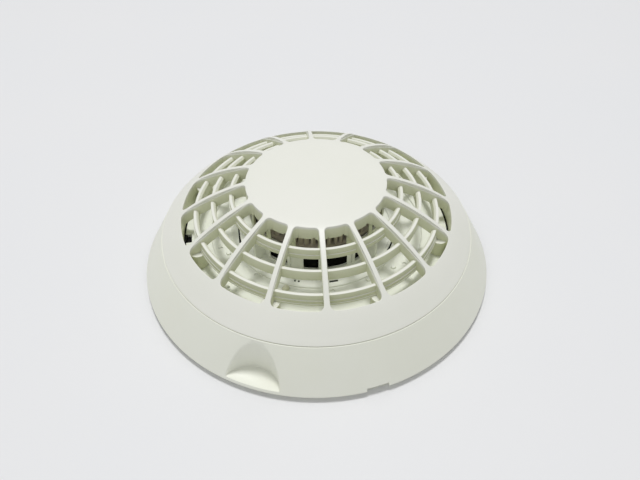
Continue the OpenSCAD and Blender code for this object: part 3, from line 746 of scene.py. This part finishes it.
def make_deck():
    """Pale deck under the guard: shelf, raised band over the seal, ported core ring, fins and small marks."""
    deck = lathe("deck", fillet([
        (DECK_HOLE_R, DECK_Z, 0), (DECK_R, DECK_Z, 0), (DECK_R, SHELF_Z, 0.25), (SHELF_R, SHELF_Z, 0.25),
        (SHELF_R - 0.2, DECK_TOP, 0.2), (BAND_OUT, DECK_TOP, 0.2), (BAND_OUT - 0.2, BAND_Z, 0.25),
        (BAND_IN + 0.2, BAND_Z, 0.25), (BAND_IN, DECK_TOP, 0.2), (DECK_CORE_OUT, DECK_TOP, 0.3),
        (DECK_CORE_OUT, CORE_SPLIT, 0.2), (DECK_CORE_IN, CORE_SPLIT, 0.2), (DECK_CORE_IN, DECK_TOP, 0),
        (DECK_HOLE_R, DECK_TOP, 0.2),
    ], 3))
    # Channel over the seal ring: its near-black floor is painted shade for the dark groove line
    channel_in, channel_out = GASKET_R - CHANNEL_HALF, GASKET_R + CHANNEL_HALF
    channel_low, channel_high = DECK_TOP - CHANNEL_DEPTH, DECK_TOP + 0.2
    channel = lathe("channel", [
        (channel_in, channel_low), (channel_out, channel_low),
        (channel_out, channel_high), (channel_in, channel_high),
    ])
    boolean(deck, channel, "DIFFERENCE")
    cuts = []
    for bearing, width in PORTS:
        length = math.radians(width) * DECK_CORE_OUT
        cuts.append(ring_box("port", bearing, length, DECK_CORE_IN - 0.4, DECK_CORE_OUT + PROUD,
                             PORT_LOW, PORT_HIGH, 0.3, flare=PORT_FLARE))
    for bearing, width in SEAL_ARCS:
        length = math.radians(width) * GASKET_R
        cuts.append(ring_box("arc", bearing, length, GASKET_R - ARC_HALF, GASKET_R + ARC_HALF,
                             DECK_TOP - 0.1, BAND_Z + 1, 0.05))
    for bearing in CREASES:
        cuts.append(ring_box("crease", bearing, 0.8, DECK_CORE_OUT - 0.5, DECK_CORE_OUT + 1,
                             DECK_TOP + 0.6, 26.5, 0.2))
    boolean(deck, join("cuts", cuts), "DIFFERENCE")
    root = DECK_TOP - 0.3
    for bearing in FINS:
        boolean(deck, rounded_box("fin", bearing, FIN_R, 5.4, 1.4, root, FIN_TOP, 0.3), "UNION")
    pip_top = DECK_TOP + PIP_H
    pip_outline = fillet([(0, root, 0), (PIP_R, root, 0), (PIP_R, pip_top, 0.5), (0, pip_top, 0)], 4)
    for radius, bearing in PIPS:
        pip = lathe("pip", pip_outline, 24)
        x, y, _ = at_bearing(bearing, radius)
        pip.data.transform(Matrix.Translation((x * MM, y * MM, 0)))
        boolean(deck, pip, "UNION")
    holes = []
    hole_low, hole_high = DECK_Z - 1, SHELF_Z + 2
    for k in range(BOSSES):
        bearing = k * 360 / BOSSES
        holes.append(rounded_box("hole", bearing, BOSS_R, BOSS_HOLE, BOSS_HOLE,
                                 hole_low, hole_high, 2.85, 0.01))
    holes.append(rounded_box("hole", LAMP_BEARING, LAMP_R, 3.2, 3.2, hole_low, hole_high, 1.58, 0.01))
    holes.append(ring_box("hole", BLOCK_BEARING, 5.3, 55, DECK_R + 1, DECK_Z - 1, SHELF_Z + 1, 0.2))
    for radius, bearing in DIMPLES:
        holes.append(rounded_box("hole", bearing, radius, 1.8, 1.8, DECK_TOP - 0.6, SHELF_Z + 3, 0.88, 0.01))
    boolean(deck, join("holes", holes), "DIFFERENCE")
    return deck


# ---------------------------------------------------------------- small parts

def make_painted_gap_shade():
    """Black pieces that paint the shade of the gap between deck and rim where it shows, and a black block
    that paints the shade in the deck's side hole.
    """
    gap = 0.06
    foot = DECK_Z + 0.1
    pieces = []
    for bearing, width in ((-69, 22), (112, 25)):
        length = math.radians(width) * 58
        pieces.append(ring_box("arc", bearing, length, DECK_R + gap, WALL_IN - gap,
                               foot, SHELF_Z - 0.2, 0.2, steps=24))
    pieces.append(ring_box("block", BLOCK_BEARING, 5.0, 55.2, 57.9, foot, DECK_Z + 0.9, 0.2))
    return join("painted_gap_shade", pieces)


def make_spring():
    """Helical return spring with closed end turns, behind the plunger."""
    wire, coil, turns, sides = 0.2, 1.5, 6.5, 10
    closed = 0.8
    end_pitch = wire * 1.9
    x_start = low("detent_spring", 0) + wire
    x_end = high("detent_spring", 0) - wire
    z_mid = (low("detent_spring", 2) + high("detent_spring", 2)) / 2
    steps = int(turns * 28)
    run = x_end - x_start - end_pitch
    verts, faces = [], []
    for i in range(steps + 1):
        t = i / steps
        turn = 2 * math.pi * turns * t
        along = min(max((t * turns - closed) / (turns - 2 * closed), 0.0), 1.0)
        x = x_start + end_pitch * min(t * turns / closed, 1.0) * 0.5 + run * along
        x += end_pitch * max((t * turns - turns + closed) / closed, 0.0) * 0.5
        for k in range(sides):
            a = 2 * math.pi * k / sides
            reach = coil + wire * math.cos(a)
            verts.append((x + wire * math.sin(a), reach * math.sin(turn), z_mid + reach * math.cos(turn)))
    for i in range(steps):
        for k in range(sides):
            m = (k + 1) % sides
            faces.append([i * sides + k, i * sides + m, (i + 1) * sides + m, (i + 1) * sides + k])
    faces.append(list(range(sides))[::-1])
    faces.append([steps * sides + k for k in range(sides)])
    return upright(build("return_spring", verts, faces))


# ---------------------------------------------------------------- scene

# The guard's third colour is painted shade for its upright faces under the dome and disc
PLASTIC = guard_moulding(
    "guard_plastic", pale=(0.82, 0.82, 0.748), aged=(0.80, 0.805, 0.723), painted_shade=(0.71, 0.73, 0.53))
SKIRT_PLASTIC = moulded_plastic("skirt_plastic", (0.84, 0.85, 0.75), (0.825, 0.835, 0.725))
DECK_PLASTIC = moulded_plastic("deck_plastic", (0.92, 0.935, 0.86), (0.90, 0.915, 0.83), 0.36)
BASE_PLASTIC = moulded_plastic("base_plastic", (0.76, 0.77, 0.68), (0.73, 0.745, 0.65), 0.46)
HOUSING_PLASTIC = moulded_plastic("housing_plastic", (0.78, 0.79, 0.70), (0.75, 0.765, 0.67), 0.46)
FINISHES = {
    "base_plastic": BASE_PLASTIC,
    "skirt_plastic": SKIRT_PLASTIC,
    "guard_plastic": PLASTIC,
    "deck_plastic": DECK_PLASTIC,
    "housing_plastic": HOUSING_PLASTIC,
    "plunger_plastic": moulded_plastic("plunger_plastic", (0.80, 0.80, 0.76), (0.78, 0.78, 0.73), 0.3),
    "dark_plastic": dark_plastic("dark_plastic", (0.72, 0.65, 0.55), (0.82, 0.75, 0.63), 0.6, 0.3),
    "black_plastic": dark_plastic("black_plastic", (0.004, 0.004, 0.004), (0.008, 0.008, 0.007), 0.9, 0.08),
    "screen_mesh": woven_screen(),
    # Near-black: on the seal ring and the rim pieces it is painted shade for the gaps they fill
    "black_rubber": dark_plastic("black_rubber", (0.006, 0.006, 0.006), (0.012, 0.012, 0.012), 0.85, 0.15),
    "board_laminate": board_laminate(),
    "chip_epoxy": dark_plastic("chip_epoxy", (0.012, 0.012, 0.013), (0.022, 0.022, 0.024), 0.45),
    "can_aluminium": metal("can_aluminium", (0.72, 0.73, 0.75), (0.8, 0.81, 0.82), 0.32),
    "bead_glass": dark_plastic("bead_glass", (0.02, 0.02, 0.03), (0.04, 0.04, 0.05), 0.15),
    "lamp_lens": milky_lens(),
    "contact_brass": metal("contact_brass", (0.62, 0.50, 0.26), (0.74, 0.62, 0.36), 0.3),
    "zinc_steel": metal("zinc_steel", (0.62, 0.63, 0.64), (0.74, 0.75, 0.76), 0.35),
    "spring_steel": metal("spring_steel", (0.5, 0.51, 0.53), (0.62, 0.63, 0.64), 0.3),
}


def dress_cad_nodes():
    """Gives every CAD node the finish of its own slot."""
    for sub in frame["record"]["subparts"]:
        node = frame["nodes"][sub["node"]]
        node.data.materials.clear()
        node.data.materials.append(FINISHES[sub["material_slot"]])


def make_floor():
    """Pale tabletop under the detector."""
    half = 1500
    corners = ((-half, -half), (half, -half), (half, half), (-half, half))
    floor = build("floor", [(x, y, -0.05) for x, y in corners], [[0, 1, 2, 3]])
    floor.data.materials.append(tabletop())


def make_camera():
    """Camera 44 degrees up, 18 degrees to the right of the thumb recess."""
    image_width, focal_pixels, away = 640, 573.68, 0.2635
    bearing = math.radians(18.37)
    rise = math.radians(44.36)
    roll = math.radians(-0.22)
    spin = Matrix.Rotation(bearing, 3, "Z")
    target = spin @ Vector((1.56, 0.0, 8.37)) * MM
    back = spin @ Vector((0, -math.cos(rise), math.sin(rise)))
    right = spin @ Vector((1, 0, 0))
    up = back.cross(right)
    cos_roll, sin_roll = math.cos(roll), math.sin(roll)
    x_axis = right * cos_roll + up * sin_roll
    y_axis = up * cos_roll - right * sin_roll
    data = bpy.data.cameras.new("camera")
    data.sensor_width = 36.0
    data.lens = data.sensor_width * focal_pixels / image_width
    data.clip_start = 0.01
    camera = bpy.data.objects.new("camera", data)
    turn = Matrix((x_axis, y_axis, back)).transposed().to_4x4()
    camera.matrix_world = Matrix.Translation(target + back * away) @ turn
    bpy.context.scene.collection.objects.link(camera)
    bpy.context.scene.camera = camera


def make_light(name, place, size, power):
    """Soft white square light that faces the detector; place and size in metres, power in watts."""
    data = bpy.data.lights.new(name, "AREA")
    data.size = size
    data.energy = power
    light = bpy.data.objects.new(name, data)
    light.location = place
    light.rotation_euler = Vector(place).to_track_quat("Z", "Y").to_euler()
    bpy.context.scene.collection.objects.link(light)


def make_world(colour, strength):
    """Even surrounding light."""
    world = bpy.data.worlds.new("studio")
    world.use_nodes = True
    background = world.node_tree.nodes["Background"]
    background.inputs["Color"].default_value = (*colour, 1)
    background.inputs["Strength"].default_value = strength
    bpy.context.scene.world = world


dress_cad_nodes()
piece(make_guard(), "head", "guard_plastic", PLASTIC,
      "guard_disc", "guard_ribs", "ring_vanes", "guard_rim", "guard_bosses")
piece(make_skirt(), "base", "skirt_plastic", SKIRT_PLASTIC, "base_skirt")
piece(make_deck(), "head", "deck_plastic", DECK_PLASTIC, "inner_cover")
# Painted shade: black pieces fill the gap between deck and rim and the deck's side hole
piece(make_painted_gap_shade(), "head", "black_rubber", FINISHES["black_rubber"])
spring = piece(make_spring(), "base", "spring_steel", FINISHES["spring_steel"], "detent_spring")
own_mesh(spring)

make_floor()
make_camera()
make_light("key", place=(-0.15, 0.36, 2.05), size=0.45, power=22.5)
make_light("front", place=(-0.25, -1.5, 1.1), size=1.0, power=2.6)
make_world(colour=(0.98, 0.99, 1.02), strength=0.46)
bpy.context.scene.view_settings.view_transform = "Standard"
